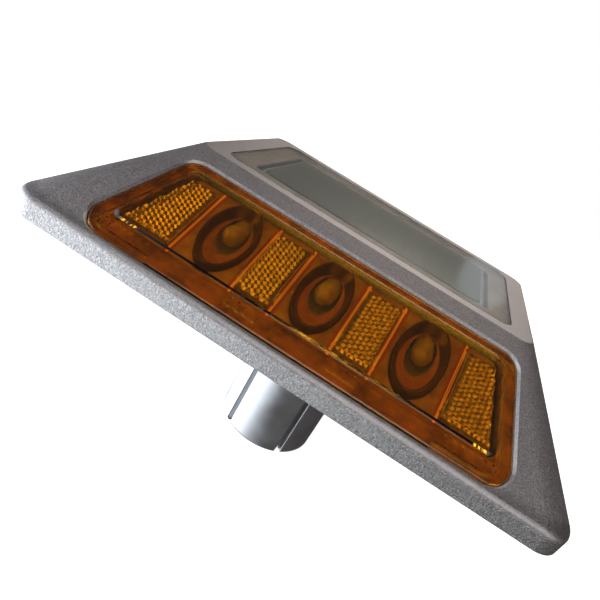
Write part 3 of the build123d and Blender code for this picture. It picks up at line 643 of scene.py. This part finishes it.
def ledShape(side):
    # flange, straight body and a rounded nose, each on its own level axis pointing out of the casting
    low, high = (np.array(corner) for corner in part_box(side + "_leds"))
    facing = -1.0 if side == "front" else 1.0
    length = high[1] - low[1]
    radius, flange = led["radius"] * mm, led["flangeRadius"] * mm
    bevel, shoulder = led["bevel"] * mm, led["flangeThickness"] * mm
    turn = np.radians(np.linspace(90, 0, led["noseSteps"]))
    nose = np.stack([length - radius + radius * np.cos(turn), radius * np.sin(turn)], -1)
    stem = np.array([(0, 0), (0, flange - bevel), (bevel, flange), (shoulder, flange), (shoulder + bevel, radius)])
    profile = np.concatenate([stem, nose])
    forward, sideways = np.array([0, facing, 0]), np.array([1.0, 0, 0])
    back = high[1] if side == "front" else low[1]
    centreZ = (low[2] + high[2]) / 2
    spacing = (high[0] - low[0]) / 2 - flange
    places = [np.array([x, back, centreZ]) for x in (-spacing, 0, spacing)]
    return joined([turned(profile, place, forward, sideways, led["steps"]) for place in places])


for side in ("front", "rear"):
    slope = slopeOf(side)
    lensPiece = addPiece(side + "_lens_moulding", lensShape(slope), finishes["amber_lens"],
                         side + "_lens")
    lensPiece.visible_shadow = False
    addPiece(side + "_prism_panels", prismShape(slope, side), finishes["amber_prism"],
             side + "_prisms", sharpAngle=5.0)
    domes = addPiece(side + "_led_domes", ledShape(side), finishes["led_clear"], side + "_leds")
    domes.visible_shadow = False
    lean = math.degrees(math.asin(slope["up"][2]))
    print(side, "slope made, leaning back", round(lean, 2), "degrees")


stand = {"floorSize": 3.0, "floorColour": (0.93, 0.93, 0.93), "floorGlow": 0.82}
camera = {
    "place": (0.00959, -0.148062, 0.055031), "heading": 5.595, "pitch": -26.434, "roll": 30.139,
    "lens": 32.4, "shiftY": 0.05,
}
skyLobes = [
    # direction, colour, strength, cosine where it starts, cosine where it is full
    ((-0.92, -0.24, -0.40), (0.92, 0.98, 1.05), 4.0, 0.46, 1.00),
    ((0.05, -0.60, 0.80), (1.0, 0.98, 0.95), 2.4, 0.85, 0.97),
    ((0.60, -0.70, 0.36), (1.0, 0.97, 0.93), 1.15, 0.88, 0.98),
    ((0.00, 0.80, 0.60), (1.0, 0.90, 0.80), 2.30, 0.91, 0.99),
    ((-0.88, -0.20, 0.42), (0.88, 0.97, 1.08), 0.90, 0.82, 0.97),
    ((0.145, 0.968, 0.205), (0.86, 0.97, 1.08), 0.30, 0.9983, 0.9993),
]
skyBase = (0.085, 0.078, 0.075)


def makeFloor():
    bottom = cadBox[0][2]
    half = stand["floorSize"] / 2
    mesh = bpy.data.meshes.new("floor")
    corners = [(x * half, y * half, bottom) for x, y in ((-1, -1), (1, -1), (1, 1), (-1, 1))]
    mesh.from_pydata(corners, [], [(0, 1, 2, 3)])
    floor = bpy.data.objects.new("floor", mesh)
    bpy.context.scene.collection.objects.link(floor)
    material, tree, shader = newMaterial("floor", Roughness=0.9, Specular_IOR_Level=0.1)
    paper = noise(tree, objectPlace(tree), 8.0, 2.0, 0.5)
    colour = stand["floorColour"]
    shade = ramp(tree, paper, [(0.3, scaled(colour, 0.99)), (0.7, colour)])
    tree.links.new(shade, shader.inputs["Base Color"])
    shader.inputs["Emission Color"].default_value = (1, 1, 1, 1)
    shader.inputs["Emission Strength"].default_value = stand["floorGlow"]
    mesh.materials.append(material)
    for ray in ("diffuse", "glossy", "transmission", "shadow"):
        setattr(floor, "visible_" + ray, False)


def makeSky():
    # a white tent seen by the camera; its light is a dim base plus a few wide soft panels
    world = bpy.data.worlds.new("studio")
    bpy.context.scene.world = world
    world.use_nodes = True
    tree = world.node_tree
    background = tree.nodes["Background"]
    direction = put(tree, "TexCoord").outputs["Generated"]
    total = blend(tree, 1.0, (0, 0, 0), skyBase, "ADD")
    for way, colour, strength, start, full in skyLobes:
        unit = np.array(way) / np.linalg.norm(way)
        towards = put(tree, "VectorMath", operation="DOT_PRODUCT")
        tree.links.new(direction, towards.inputs[0])
        towards.inputs[1].default_value = unit
        edge = {"Value": towards.outputs["Value"], "From Min": start, "From Max": full}
        amount = put(tree, "MapRange", edge, interpolation_type="SMOOTHSTEP").outputs["Result"]
        total = blend(tree, amount, total, tuple(value * strength for value in colour), "ADD")
    seen = put(tree, "LightPath").outputs["Is Camera Ray"]
    tree.links.new(blend(tree, seen, total, (1.0, 1.0, 1.0)), background.inputs["Color"])


def makeCamera():
    data = bpy.data.cameras.new("camera")
    data.sensor_width = 36.0
    data.lens = camera["lens"]
    data.shift_y = camera["shiftY"]
    data.clip_start = 0.005
    holder = bpy.data.objects.new("camera", data)
    bpy.context.scene.collection.objects.link(holder)
    holder.location = camera["place"]
    holder.rotation_mode = "QUATERNION"
    turn = [Matrix.Rotation(math.radians(angle), 3, axis) for angle, axis in (
        (camera["heading"], "Z"), (90 + camera["pitch"], "X"), (camera["roll"], "Z"))]
    holder.rotation_quaternion = (turn[0] @ turn[1] @ turn[2]).to_quaternion()
    bpy.context.scene.camera = holder


makeFloor()
makeSky()
makeCamera()
bpy.context.scene.view_settings.view_transform = "Standard"
print("floor, light and camera made")
